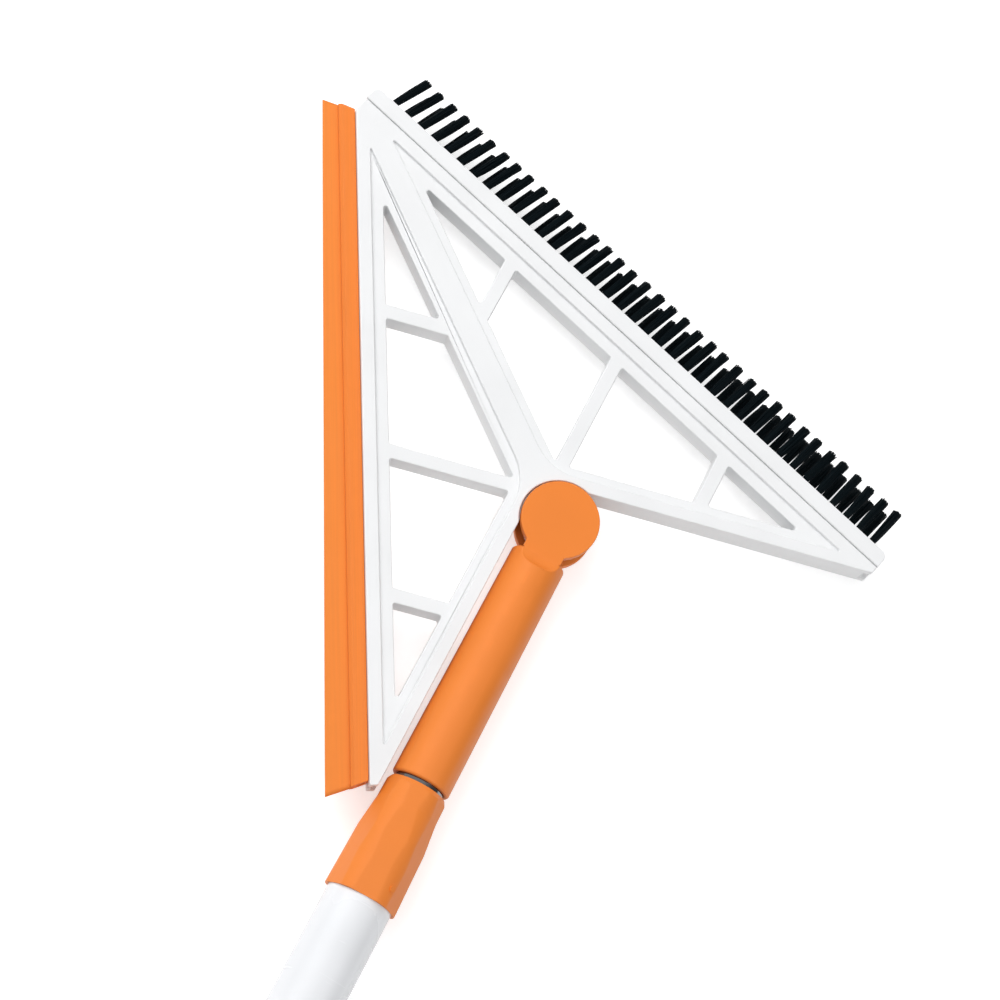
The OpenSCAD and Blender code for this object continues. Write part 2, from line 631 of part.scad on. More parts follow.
// Slit collet that grips the outer tube when the cone is drawn up into it
slit_w = 1.6;
hollow_h = collet_len - collet_hub;
cone_slant = tan(cone_slope);
module lock_collet() color("gainsboro") along_pole(collet_y) difference() {
    cylinder(r = bore_r - run_gap, h = collet_len);
    translate([0, 0, -past]) cylinder(r = stud_r + run_gap, h = collet_len + 2 * past);
    translate([0, 0, -past]) rotate_extrude()
        polygon([[0, 0], [cone_top_r + cone_clear + (hollow_h + past) * cone_slant, 0],
                 [cone_top_r + cone_clear, hollow_h + past], [0, hollow_h + past]]);
    for (a = [0, 90]) rotate(a)
        translate([-bore_r - past, -slit_w / 2, -past])
            cube([2 * bore_r + 2 * past, slit_w, hollow_h]);
}
module lock_cone() color("gainsboro") along_pole(cone_y) difference() {
    cylinder(r1 = cone_top_r + hollow_h * cone_slant, r2 = cone_top_r + (hollow_h - cone_len) * cone_slant,
             h = cone_len);
    translate([0, 0, -past]) cylinder(r = stud_r + run_gap, h = cone_len + 2 * past);
}

// White painted outer tube and the nylon bush that guides the inner tube in its mouth
module pin_hole(r) translate([0, pin_y, 0]) rotate([0, pin_turn, 0]) cylinder(r = r, h = 2 * outer_r);
module outer_tube() color("white") difference() {
    along_pole(outer_y) ring(outer_r, bore_r, outer_len);
    pin_hole(pin_r + thread_gap);
}
module guide_bush() color("ivory") {
    along_pole(outer_top) ring(outer_r, inner_r + run_gap, bush_flange_t);
    along_pole(outer_top - bush_len) ring(bore_r - slip_gap / 2, inner_r + run_gap, bush_len);
}

// Faceted orange collar: bevelled top edge, short neck, flare and long skirt over the outer tube
flare_start = collar_len - collar_neck_len;
flare_end = flare_start - collar_flare_len;
foot_edge = 0.3;
neck_taper = 0.15;
facet_foot_r = collar_end_r - facet_foot_depth;
facet_flare_r = collar_flare_r - facet_flare_depth;
facet_top_r = collar_neck_r - facet_depth;
// Cuts the flat faces, each through radius r0 at level y0 and radius r1 at level y1
module facets(y0, r0, y1, r1) for (i = [0:facet_count - 1]) rotate((i + 0.5) * 360 / facet_count)
    translate([r0, 0, y0]) rotate([0, -atan((r0 - r1) / (y1 - y0)), 0])
        translate([0, -collar_end_r, -collar_len]) cube([collar_end_r, 2 * collar_end_r, 3 * collar_len]);
collar_run_gap = 0.25;
module twist_collar() color("darkorange") along_pole(collar_y) difference() {
    rotate_extrude()
        polygon([[0, 0], [collar_end_r - foot_edge, 0], [collar_end_r, foot_edge],
                 [collar_flare_r, flare_end], [collar_neck_r, flare_start],
                 [collar_neck_r - neck_taper, collar_len - collar_bevel],
                 [collar_top_r, collar_len], [0, collar_len]]);
    facets(0, facet_foot_r, flare_end, facet_flare_r);
    facets(flare_end, facet_flare_r, collar_len, facet_top_r);
    translate([0, 0, -past]) cylinder(r = outer_r + slip_gap / 2, h = socket_depth + bush_flange_t + past);
    cylinder(r = inner_r + collar_run_gap, h = collar_len + past);
    translate([0, 0, pin_y - collar_y]) rotate([90, 0, 0]) rotate([0, pin_turn, 0])
        cylinder(r = pin_r + thread_gap, h = 2 * outer_r);
}
// Pin that fixes the collar to the outer tube
module collar_pin() color("orange") translate([0, pin_y, 0]) rotate([0, pin_turn, 0])
    translate([0, 0, bore_r]) cylinder(r = pin_r, h = collar_end_r + pin_rise - bore_r);

// Soft grip with rings, and the end cap with its hanging eye
taper_len = 12;
mouth_wall = 1.2;
groove_first = 12;
groove_last = grip_len - 20;
groove_round = 1.2;
module hand_grip() color("darkorange") along_pole(outer_y) difference() {
    rotate_extrude() polygon([[0, 0], [grip_r, 0], [grip_r, grip_len - taper_len],
                              [outer_r + mouth_wall, grip_len], [0, grip_len]]);
    translate([0, 0, -past]) cylinder(r = outer_r + slip_gap / 2, h = grip_len + 2 * past);
    for (i = [0:groove_count - 1])
        translate([0, 0, groove_first + i * (groove_last - groove_first) / (groove_count - 1)])
            rotate_extrude() translate([grip_r + groove_round, 0])
                circle(r = groove_round + groove_depth, $fn = 24);
}
cap_floor = 2;
cap_wall = 2.2;
module end_cap() color("darkorange") difference() {
    union() {
        along_pole(outer_y) cylinder(r = bore_r - slip_gap / 2, h = cap_plug_len);
        along_pole(cap_flange_y) cylinder(r = grip_r, h = cap_flange_t);
        cylinder(r = eye_r, h = eye_t, center = true);
        translate([-eye_r, 0, -eye_t / 2]) cube([2 * eye_r, cap_flange_y + past, eye_t]);
    }
    cylinder(r = hang_r, h = 2 * eye_t, center = true);
    along_pole(outer_y + cap_floor) cylinder(r = bore_r - cap_wall, h = cap_plug_len);
}

head_frame();
blade_holder();
rubber_blade();
brush_block();
bristles_front();
bristles_rear();
tuft_anchors();
handle_sleeve();
sleeve_screw();
pivot_bush();
pivot_screw();
pivot_nut();
front_washer();
rear_washer();
spring_washer();
inner_tube();
lock_stud();
stud_nut();
lock_collet();
lock_cone();
outer_tube();
guide_bush();
twist_collar();
collar_pin();
hand_grip();
end_cap();
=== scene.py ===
# %% [markdown]
# # Window cleaning squeegee
# A flat triangular head carries a rubber blade along one long side and a bristle brush along the
# other. It swivels on a short orange handle, which tops a telescopic pole with a twist lock.
# The shapes that carry load come from the CAD frame. This script gives them moulded edges, real
# filaments, rubber, steel and paint, and sets up a plain studio.

# %% Load the frame
import json
import math

import bmesh
import bpy
import numpy as np
from mathutils import Matrix, Vector


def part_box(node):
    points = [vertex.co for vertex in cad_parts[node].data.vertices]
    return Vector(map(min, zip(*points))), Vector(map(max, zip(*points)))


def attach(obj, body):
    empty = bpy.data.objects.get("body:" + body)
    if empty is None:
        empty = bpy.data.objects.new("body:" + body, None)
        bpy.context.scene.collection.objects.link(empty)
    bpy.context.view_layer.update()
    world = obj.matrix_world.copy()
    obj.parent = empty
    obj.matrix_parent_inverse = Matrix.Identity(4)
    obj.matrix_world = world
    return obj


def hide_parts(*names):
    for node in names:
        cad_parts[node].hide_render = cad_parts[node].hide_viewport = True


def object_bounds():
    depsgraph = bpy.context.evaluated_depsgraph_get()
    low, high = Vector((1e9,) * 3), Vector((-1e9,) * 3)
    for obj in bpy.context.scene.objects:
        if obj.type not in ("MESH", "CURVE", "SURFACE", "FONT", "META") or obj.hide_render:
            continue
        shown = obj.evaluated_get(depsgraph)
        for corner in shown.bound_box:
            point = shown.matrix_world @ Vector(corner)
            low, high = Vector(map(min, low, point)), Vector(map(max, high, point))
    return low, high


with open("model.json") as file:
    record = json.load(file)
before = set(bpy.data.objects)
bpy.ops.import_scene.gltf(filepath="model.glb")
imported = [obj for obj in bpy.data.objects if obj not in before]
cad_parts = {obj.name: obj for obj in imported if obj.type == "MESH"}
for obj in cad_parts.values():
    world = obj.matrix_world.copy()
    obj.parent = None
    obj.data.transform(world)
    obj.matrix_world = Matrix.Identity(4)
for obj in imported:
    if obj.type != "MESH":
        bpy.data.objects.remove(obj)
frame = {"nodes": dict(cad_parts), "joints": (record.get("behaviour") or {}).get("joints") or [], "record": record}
cad_box = [list(corner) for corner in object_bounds()]
MM = 0.001
print("pieces in the frame:", len(frame["nodes"]), "box:", cad_box)

# %% [markdown]
# ## Places read from the frame
# Every piece is placed from the frame, so nothing has to be fitted by eye. The pivot is the swivel
# joint's own position. Each long side of the head gets its own two directions: `out`, square to the
# strip and away from the pivot, and `along`, from the strip's foot to the apex. They are found from
# the strip's largest upright face, because a flat face gives an exact normal.

# %% Places and directions
joints = {joint["name"]: joint for joint in frame["joints"]}
pivot = np.array(joints["head_swivel"]["pos_m"], float)


def node_points(node):
    """The node's vertices as an array with one row of x, y, z for each."""
    mesh = frame["nodes"][node].data
    points = np.empty(len(mesh.vertices) * 3)
    mesh.vertices.foreach_get("co", points)
    return points.reshape(-1, 3)


def farthest_from_pivot(node):
    """The vertex with the greatest distance from the pivot."""
    points = node_points(node) - pivot
    return points[np.argmax(np.linalg.norm(points, axis=1))]


apex = farthest_from_pivot("head_frame")


class Rail:
    """One long side of the head. Local places are (d, s, z): distance out from the pivot, place
    along the side towards the apex, and height over the head's middle plane."""

    def __init__(self, node):
        mesh = frame["nodes"][node].data
        normals = np.empty(len(mesh.polygons) * 3)
        areas = np.empty(len(mesh.polygons))
        mesh.polygons.foreach_get("normal", normals)
        mesh.polygons.foreach_get("area", areas)
        normals = normals.reshape(-1, 3)
        upright = areas * (np.abs(normals[:, 2]) < 0.01)
        self.out = normals[np.argmax(upright)].copy()
        self.out[2] = 0
        self.out /= np.linalg.norm(self.out)
        middle = node_points(node).mean(0) - pivot
        self.out *= np.sign(self.out @ middle)
        self.along = np.cross([0, 0, 1], self.out)
        self.along *= np.sign(self.along @ apex)

    def local(self, points):
        """Row-frame points as (d, s, z)."""
        rel = np.asarray(points) - pivot
        return np.stack([rel @ self.out, rel @ self.along, rel[..., 2]], axis=-1)

    def place(self, local):
        """(d, s, z) as row-frame points: pivot + d * out + s * along + z * up."""
        local = np.asarray(local, float)
        return (pivot + local[..., :1] * self.out + local[..., 1:2] * self.along
                + local[..., 2:] * np.array([0, 0, 1.0]))

    def box(self, node):
        """Lowest and highest (d, s, z) of a node."""
        points = self.local(node_points(node))
        return points.min(0), points.max(0)


brush_side = Rail("brush_block")
blade_side = Rail("blade_holder")
for label, rail in (("brush", brush_side), ("blade", blade_side)):
    print(label, "side faces", np.degrees(np.arctan2(rail.out[1], rail.out[0])).round(2), "degrees")

# %% [markdown]
# ## Camera, floor and light
# The camera looks down on the head's front face, tilted towards the handle and turned so that the
# apex comes to the upper left. The floor is a sheet of white acrylic lit from below, as a product
# table is, which keeps shadows faint. It looks brighter than the light it gives, so that it can be
# white without washing out the sides of the part. Two broad lamps give the form its soft shading
# and never show as highlights, and a smaller lamp on the right gives the one highlight. The studio
# is darker on the right, which shades that side of round parts.

# %% Camera
CAMERA_FROM_PIVOT = np.array([-44.6, -308.3, 841.3]) * MM
TARGET_FROM_PIVOT = np.array([-22.2, -2.0, 0.0]) * MM
CAMERA_ROLL = math.radians(-28.29)
CAMERA_LENS = 90
SENSOR_WIDTH = 36
NEAREST = 0.05


def look_at(place, target, roll):
    """Rotation that looks from place to target with +Y up, then turned by roll about the view."""
    aim = Vector(target - place).normalized()
    side = aim.cross(Vector((0, 1, 0))).normalized()
    up = side.cross(aim)
    level = Matrix((side, up, -aim)).transposed()
    return level @ Matrix.Rotation(-roll, 3, "Z")


camera = bpy.data.objects.new("camera", bpy.data.cameras.new("camera"))
bpy.context.scene.collection.objects.link(camera)
camera.data.lens = CAMERA_LENS
camera.data.sensor_width = SENSOR_WIDTH
camera.data.clip_start = NEAREST
camera_place, camera_target = pivot + CAMERA_FROM_PIVOT, pivot + TARGET_FROM_PIVOT
camera.location = camera_place
camera.rotation_euler = look_at(camera_place, camera_target, CAMERA_ROLL).to_euler()
bpy.context.scene.camera = camera
bpy.context.scene.view_settings.view_transform = "Standard"
print("camera at", tuple(round(c, 4) for c in camera.location))


# %% Node helpers for materials
def new_material(name):
    """An empty node material with a Principled BSDF wired to its output."""
    material = bpy.data.materials.new(name)
    material.use_nodes = True
    tree = material.node_tree
    tree.nodes.clear()
    output = tree.nodes.new("ShaderNodeOutputMaterial")
    shader = tree.nodes.new("ShaderNodeBsdfPrincipled")
    tree.links.new(shader.outputs["BSDF"], output.inputs["Surface"])
    return material, tree, shader


def add(tree, kind, inputs=(), **settings):
    """A node of the given kind. inputs maps a socket's name or number to a value or an output."""
    node = tree.nodes.new(kind)
    for key, value in settings.items():
        setattr(node, key, value)
    for key, value in dict(inputs).items():
        if isinstance(value, bpy.types.NodeSocket):
            tree.links.new(value, node.inputs[key])
        else:
            node.inputs[key].default_value = value
    return node


def math_node(tree, operation, *values):
    """One arithmetic step on up to three values or outputs."""
    return add(tree, "ShaderNodeMath", dict(enumerate(values)), operation=operation).outputs[0]


def ramp(tree, value, low, high, to_low=0.0, to_high=1.0):
    """value carried from low..high to to_low..to_high, held at both ends."""
    return add(tree, "ShaderNodeMapRange", {"Value": value, "From Min": low, "From Max": high,
                                            "To Min": to_low, "To Max": to_high}).outputs[0]


def mix_colour(tree, share, a, b):
    """Colour a where share is 0 and colour b where it is 1."""
    return add(tree, "ShaderNodeMix", {0: share, 6: a, 7: b}, data_type="RGBA").outputs[2]


# %% Floor and lights
FLOOR_GAP = 0.4 * MM
FLOOR_HALF = 6.0
FLOOR_TONE = 0.75
FLOOR_GLOW = 0.25
FLOOR_GLOW_SEEN = 0.25
floor_z = cad_box[0][2] - FLOOR_GAP
floor_mesh = bpy.data.meshes.new("floor")
floor_corners = [(x * FLOOR_HALF, y * FLOOR_HALF, floor_z) for x, y in ((-1, -1), (1, -1), (1, 1), (-1, 1))]
floor_mesh.from_pydata(floor_corners, [], [(0, 1, 2, 3)])
floor = bpy.data.objects.new("floor", floor_mesh)
bpy.context.scene.collection.objects.link(floor)
floor_material, tree, shader = new_material("white_acrylic_table")
seen = add(tree, "ShaderNodeLightPath").outputs["Is Camera Ray"]
shader.inputs["Base Color"].default_value = (FLOOR_TONE, FLOOR_TONE, FLOOR_TONE, 1)
shader.inputs["Roughness"].default_value = 0.9
shader.inputs["Specular IOR Level"].default_value = 0.1
shader.inputs["Emission Color"].default_value = (1, 1, 1, 1)
glow = math_node(tree, "MULTIPLY_ADD", seen, FLOOR_GLOW_SEEN, FLOOR_GLOW)
tree.links.new(glow, shader.inputs["Emission Strength"])
floor.data.materials.append(floor_material)

world = bpy.data.worlds.new("studio")
bpy.context.scene.world = world
world.use_nodes = True
tree = world.node_tree
TO_THE_RIGHT = (0.97, -0.2, 0.1)
WALL_LIGHT, DARK_WALL_LIGHT = 0.53, 0.12
DARK_FROM, DARK_TO = 0.15, 0.75
direction = add(tree, "ShaderNodeTexCoord").outputs["Generated"]
turned_right = add(tree, "ShaderNodeVectorMath", {0: direction, 1: TO_THE_RIGHT}, operation="DOT_PRODUCT")
wall_light = ramp(tree, turned_right.outputs["Value"], DARK_FROM, DARK_TO, WALL_LIGHT, DARK_WALL_LIGHT)
background = tree.nodes["Background"].inputs
background["Color"].default_value = (0.985, 0.99, 1, 1)
tree.links.new(wall_light, background["Strength"])


def softbox(name, place, target, size, power, mirrored):
    """A square area lamp of the given side, in metres, that looks at target. Only a lamp that is
    mirrored shows as a highlight on glossy surfaces."""
    lamp = bpy.data.lights.new(name, "AREA")
    lamp.shape = "SQUARE"
    lamp.size = size
    lamp.energy = power
    holder = bpy.data.objects.new(name, lamp)
    bpy.context.scene.collection.objects.link(holder)
    holder.location = pivot + np.array(place)
    holder.rotation_euler = look_at(pivot + np.array(place), pivot + np.array(target), 0).to_euler()
    holder.visible_glossy = mirrored
    return holder


softbox("key_softbox", (-0.9, 0.5, 1.2), (0, -0.05, 0), 1.3, 17.5, False)
softbox("top_softbox", (0.1, -0.2, 1.9), (0, -0.1, 0), 1.2, 6.2, False)
softbox("right_softbox", (0.78, -0.35, 1.0), (0, -0.1, 0), 0.55, 3.6, True)

# %% [markdown]
# ## Effects shared by the finishes
# Moulded plastic has a faint grain from the tool and slow waves where it shrank. Handling leaves
# smudges that change only the gloss. Edges that stand proud are rubbed a little paler, so the
# meshes carry an `edge` value that is 1 on a rounded edge and 0 on a face. Drawn and extruded
# parts show streaks along their length, so those meshes carry a UV map in metres that follows the
# part. Each effect is a node group that gives masks and heights, placed in each material with its
# own values.

# %% Node groups
def new_group(name, inputs, outputs):
    """A node group with float inputs {name: default} and float outputs [names]."""
    group = bpy.data.node_groups.new(name, "ShaderNodeTree")
    for label, default in inputs.items():
        socket = group.interface.new_socket(label, in_out="INPUT", socket_type="NodeSocketFloat")
        socket.default_value = default
    for label in outputs:
        group.interface.new_socket(label, in_out="OUTPUT", socket_type="NodeSocketFloat")
    return group, group.nodes.new("NodeGroupInput").outputs, group.nodes.new("NodeGroupOutput").inputs


moulded_grain, given, result = new_group(
    "moulded grain", {"Grain Size": 0.5, "Grain": 1.0, "Sink": 1.0}, ["Height", "Tone"])
place = add(moulded_grain, "ShaderNodeTexCoord").outputs["Object"]
per_metre = math_node(moulded_grain, "DIVIDE", 1000.0, given["Grain Size"])
fine = add(moulded_grain, "ShaderNodeTexNoise",
           {"Vector": place, "Scale": per_metre, "Detail": 3.0})
slow = add(moulded_grain, "ShaderNodeTexNoise", {"Vector": place, "Scale": 45.0, "Detail": 1.0})
fine_part = math_node(moulded_grain, "MULTIPLY", fine.outputs[0], given["Grain"])
slow_part = math_node(moulded_grain, "MULTIPLY", slow.outputs[0], given["Sink"])
moulded_grain.links.new(math_node(moulded_grain, "ADD", fine_part, slow_part), result["Height"])
moulded_grain.links.new(ramp(moulded_grain, slow.outputs[0], 0.3, 0.7), result["Tone"])

edge_wear, given, result = new_group("edge wear", {"Amount": 0.5, "Patch Size": 6.0}, ["Mask"])
place = add(edge_wear, "ShaderNodeTexCoord").outputs["Object"]
per_metre = math_node(edge_wear, "DIVIDE", 1000.0, given["Patch Size"])
patches = add(edge_wear, "ShaderNodeTexNoise", {"Vector": place, "Scale": per_metre, "Detail": 4.0})
on_edge = add(edge_wear, "ShaderNodeAttribute", attribute_name="edge").outputs["Fac"]
rubbed = math_node(edge_wear, "MULTIPLY", on_edge, ramp(edge_wear, patches.outputs[0], 0.42, 0.68))
edge_wear.links.new(math_node(edge_wear, "MULTIPLY", rubbed, given["Amount"]), result["Mask"])

handling, given, result = new_group("handling marks", {"Amount": 0.5}, ["Smudge", "Scratch"])
place = add(handling, "ShaderNodeTexCoord").outputs["Object"]
smears = add(handling, "ShaderNodeTexNoise",
             {"Vector": place, "Scale": 28.0, "Detail": 5.0, "Distortion": 0.6})
stretched = add(handling, "ShaderNodeMapping",
                {"Vector": place, "Rotation": (0.3, 0.5, 0.9), "Scale": (60, 900, 60)})
hairs = add(handling, "ShaderNodeTexNoise",
            {"Vector": stretched.outputs[0], "Scale": 1.0, "Detail": 2.0})
for source, low, high, label in ((smears, 0.45, 0.75, "Smudge"), (hairs, 0.66, 0.72, "Scratch")):
    handling.links.new(math_node(handling, "MULTIPLY", ramp(handling, source.outputs[0], low, high),
                                 given["Amount"]), result[label])

drawn_lines, given, result = new_group(
    "drawn lines", {"Line Width": 0.3, "Length": 40.0}, ["Height", "Tone"])
uv = add(drawn_lines, "ShaderNodeUVMap", uv_map="run").outputs[0]
across = math_node(drawn_lines, "DIVIDE", 1000.0, given["Line Width"])
run = math_node(drawn_lines, "DIVIDE", 1000.0, given["Length"])
scale = add(drawn_lines, "ShaderNodeCombineXYZ", {0: across, 1: run, 2: 1.0}).outputs[0]
laid = add(drawn_lines, "ShaderNodeVectorMath", {0: uv, 1: scale}, operation="MULTIPLY").outputs[0]
lines = add(drawn_lines, "ShaderNodeTexNoise", {"Vector": laid, "Scale": 1.0, "Detail": 3.0})
drawn_lines.links.new(lines.outputs[0], result["Height"])
drawn_lines.links.new(ramp(drawn_lines, lines.outputs[0], 0.35, 0.65), result["Tone"])


def use(tree, group, **values):
    """The outputs of a node group placed in tree, with inputs given as Line_Width=0.3 and so on."""
    node = tree.nodes.new("ShaderNodeGroup")
    node.node_tree = group
    for key, value in values.items():
        node.inputs[key.replace("_", " ")].default_value = value
    return node.outputs


def bump(tree, shader, height, depth_mm, strength=1.0):
    """height of 0..1 laid on the surface as relief of depth_mm."""
    node = add(tree, "ShaderNodeBump",
               {"Height": height, "Distance": depth_mm * MM, "Strength": strength})
    tree.links.new(node.outputs[0], shader.inputs["Normal"])


print("shared effects:", [group.name for group in bpy.data.node_groups])

# %% [markdown]
# ## Finishes
# The head is satin white polypropylene, the handle and collar are orange polypropylene, and the
# blade is a soft orange rubber in a stiffer orange strip. Each colour is one shade, moved a little
# by the shrink waves and paler where edges are rubbed, and the gloss changes with grain and
# smudges. Steel parts are zinc plated or polished, and the outer tube has white paint. The polished
# steel is much darker than real polished steel: this is painted shade for the narrow gap it shows in.


# %% Plastic, rubber and paint
def plastic(name, colour, rough, grain_mm=0.5, relief_mm=0.012, wear=0.25, pale=1.25, coat=0.0):
    """Moulded plastic: colour moved by the shrink waves, rubbed edges, grain relief and smudges."""
    material, tree, shader = new_material(name)
    grain = use(tree, moulded_grain, Grain_Size=grain_mm, Grain=1.0, Sink=2.0)
    marks = use(tree, handling, Amount=0.6)
    worn = use(tree, edge_wear, Amount=wear)["Mask"]
    deep = tuple(c * 0.965 for c in colour) + (1,)
    lifted = tuple(min(1.0, c * pale + 0.01) for c in colour) + (1,)
    body = mix_colour(tree, grain["Tone"], deep, tuple(colour) + (1,))
    tree.links.new(mix_colour(tree, worn, body, lifted), shader.inputs["Base Color"])
    gloss = math_node(tree, "MULTIPLY_ADD", marks["Smudge"], 0.12, rough)
    gloss = math_node(tree, "MULTIPLY_ADD", grain["Tone"], 0.05, gloss)
    gloss = math_node(tree, "MULTIPLY_ADD", worn, 0.15, gloss)
    gloss = math_node(tree, "MULTIPLY_ADD", marks["Scratch"], 0.1, gloss)
    tree.links.new(gloss, shader.inputs["Roughness"])
    bump(tree, shader, grain["Height"], relief_mm)
    shader.inputs["Coat Weight"].default_value = coat
    shader.inputs["Coat Roughness"].default_value = 0.15
    return material


def extruded(name, colour, rough, line_mm, relief_mm, pale, specular=0.5):
    """Extruded plastic or rubber: fine streaks along the strip and a soft mottle."""
    material, tree, shader = new_material(name)
    streaks = use(tree, drawn_lines, Line_Width=line_mm, Length=60.0)
    grain = use(tree, moulded_grain, Grain_Size=0.35, Grain=0.6, Sink=1.0)
    worn = use(tree, edge_wear, Amount=0.2)["Mask"]
    deep = tuple(c * 0.95 for c in colour) + (1,)
    lifted = tuple(min(1.0, c * pale) for c in colour) + (1,)
    body = mix_colour(tree, streaks["Tone"], deep, tuple(colour) + (1,))
    tree.links.new(mix_colour(tree, worn, body, lifted), shader.inputs["Base Color"])
    gloss = math_node(tree, "MULTIPLY_ADD", streaks["Tone"], 0.08, rough)
    gloss = math_node(tree, "MULTIPLY_ADD", grain["Tone"], 0.06, gloss)
    tree.links.new(gloss, shader.inputs["Roughness"])
    shader.inputs["Specular IOR Level"].default_value = specular
    bump(tree, shader, math_node(tree, "ADD", streaks["Height"], grain["Height"]), relief_mm)
    return material


def metal(name, colour, rough, relief_mm=0.004, coat=0.0):
    """Plated or polished metal with fine drawn grain, cloudy gloss and rubbed edges."""
    material, tree, shader = new_material(name)
    grain = use(tree, moulded_grain, Grain_Size=0.25, Grain=1.0, Sink=0.5)
    marks = use(tree, handling, Amount=0.8)
    deep = tuple(c * 0.86 for c in colour) + (1,)
    body = mix_colour(tree, grain["Tone"], deep, tuple(colour) + (1,))
    tree.links.new(body, shader.inputs["Base Color"])
    shader.inputs["Metallic"].default_value = 1.0
    gloss = math_node(tree, "MULTIPLY_ADD", marks["Smudge"], 0.12, rough)
    gloss = math_node(tree, "MULTIPLY_ADD", marks["Scratch"], 0.12, gloss)
    tree.links.new(gloss, shader.inputs["Roughness"])
    bump(tree, shader, grain["Height"], relief_mm)
    shader.inputs["Coat Weight"].default_value = coat
    return material


finishes = {
    "white_plastic": plastic("white_plastic", (0.80, 0.805, 0.81), 0.34, relief_mm=0.01, pale=1.04),
    "orange_plastic": plastic("orange_plastic", (0.80, 0.215, 0.026), 0.40, relief_mm=0.01, pale=1.2),
    "orange_grip": plastic("orange_grip", (0.72, 0.17, 0.03), 0.62, grain_mm=0.8, relief_mm=0.04),
    "orange_holder": extruded("orange_holder", (0.80, 0.215, 0.035), 0.45, 0.5, 0.012, 1.15, 0.3),
    "orange_rubber": extruded("orange_rubber", (0.80, 0.225, 0.035), 0.55, 0.9, 0.012, 1.2, 0.3),
    "black_bristle": extruded("black_bristle", (0.002, 0.0055, 0.0075), 0.5, 0.1, 0.004, 1.6, 0.12),
    "white_paint": plastic("white_paint", (0.80, 0.81, 0.83), 0.22, grain_mm=1.2, relief_mm=0.006,
                           coat=0.4),
    "natural_nylon": plastic("natural_nylon", (0.72, 0.69, 0.6), 0.45),
    "grey_plastic": plastic("grey_plastic", (0.08, 0.082, 0.085), 0.5),
    "zinc_steel": metal("zinc_steel", (0.66, 0.67, 0.68), 0.3, 0.006),
    # The polished steel's base colour of 0.30 is painted shade: it is darker than real polished steel so that the
    # inner tube looks dark in the gap under the handle, where shade falls, and only the lamp's highlight shows on
    # it.
    "polished_steel": metal("polished_steel", (0.30, 0.305, 0.31), 0.1, 0.002),
}
node_slot = {part["node"]: part["material_slot"] for part in frame["record"]["subparts"]}
for node, slot in node_slot.items():
    mesh = frame["nodes"][node].data
    mesh.materials.clear()
    mesh.materials.append(finishes[slot])
print("finishes:", sorted(finishes))

# %% [markdown]
# ## Helpers that make meshes
# A strip, a tube or a turned part is a grid of points with a row for each step along it and a
# column for each step round it. The whole grid is worked out at once with numpy, and joined into
# faces by counting. A moulded part with bosses and pockets is a copy of its CAD solid with every
# sharp edge rounded, because a mould maker starts from the same solid and breaks its edges.


# %% Grids
def finish_piece(piece, nodes, body, slot, material=None):
    """Gives a piece its finish, hides the CAD nodes that it stands for and hangs it on its body."""
    piece.data.materials.clear()
    piece.data.materials.append(material or finishes[slot])
    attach(piece, body)
    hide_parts(*nodes)
    print(piece.name, "has", len(piece.data.polygons), "faces on body", body)
    return piece


def new_piece(name, points, faces, edge=None, run=None):
    """A smooth mesh object. edge is the wear value of each point, run is a (u, v) in metres."""
    mesh = bpy.data.meshes.new(name)
    mesh.from_pydata(points.reshape(-1, 3), [], faces)
    mesh.update()
    mesh.shade_smooth()
    if edge is not None:
        values = mesh.attributes.new("edge", "FLOAT", "POINT")
        values.data.foreach_set("value", np.clip(edge, 0, 1).astype(np.float32).ravel())
    if run is not None:
        corners = np.empty(len(mesh.loops), int)
        mesh.loops.foreach_get("vertex_index", corners)
        layer = mesh.uv_layers.new(name="run")
        layer.data.foreach_set("uv", run.reshape(-1, 2)[corners].astype(np.float32).ravel())
    piece = bpy.data.objects.new(name, mesh)
    bpy.context.scene.collection.objects.link(piece)
    return piece


def grid_faces(rows, cols, close_rows=False, close_cols=True):
    """Quads between neighbours of a grid of points numbered row by row."""
    r = np.arange(rows if close_rows else rows - 1)[:, None]
    c = np.arange(cols if close_cols else cols - 1)[None, :]
    r1, c1 = (r + 1) % rows, (c + 1) % cols
    quads = np.stack([r * cols + c, r * cols + c1, r1 * cols + c1, r1 * cols + c], axis=-1)
    return quads.reshape(-1, 4)


def arc_corners(points, radii, steps=5):
    """A line of 2D points with each corner replaced by an arc: the arc touches both sides at
    r / tan(half the corner's angle) from the corner. A radius of 0 keeps the corner."""
    points = np.asarray(points, float)
    out = []
    for i, (corner, radius) in enumerate(zip(points, radii)):
        if radius <= 0:
            out.append(corner[None])
            continue
        a = points[i - 1] - corner
        b = points[(i + 1) % len(points)] - corner
        la, lb = np.linalg.norm(a), np.linalg.norm(b)
        a, b = a / la, b / lb
        half = np.arccos(np.clip(a @ b, -1, 1)) / 2
        reach = min(radius / np.tan(half), 0.48 * la, 0.48 * lb)
        middle = corner + (a + b) / np.linalg.norm(a + b) * reach / np.cos(half)
        t = np.linspace(0, 1, steps)[:, None]
        start, end = corner + a * reach - middle, corner + b * reach - middle
        turn = np.arccos(np.clip(start @ end / (start @ start), -1, 1))
        arc = (np.sin((1 - t) * turn) * start + np.sin(t * turn) * end) / np.sin(turn)
        out.append(middle + arc)
    return np.concatenate(out)


def edge_of_profile(profile, closed=True):
    """1 where a profile turns sharply and 0 where it is straight: the turn over 25 degrees."""
    before = profile - np.roll(profile, 1, axis=0)
    after = np.roll(profile, -1, axis=0) - profile
    turn = np.abs(np.arctan2(before[:, 0] * after[:, 1] - before[:, 1] * after[:, 0],
                             (before * after).sum(1)))
    if not closed:
        turn[[0, -1]] = 0
    return np.clip(turn / np.radians(25), 0, 1)


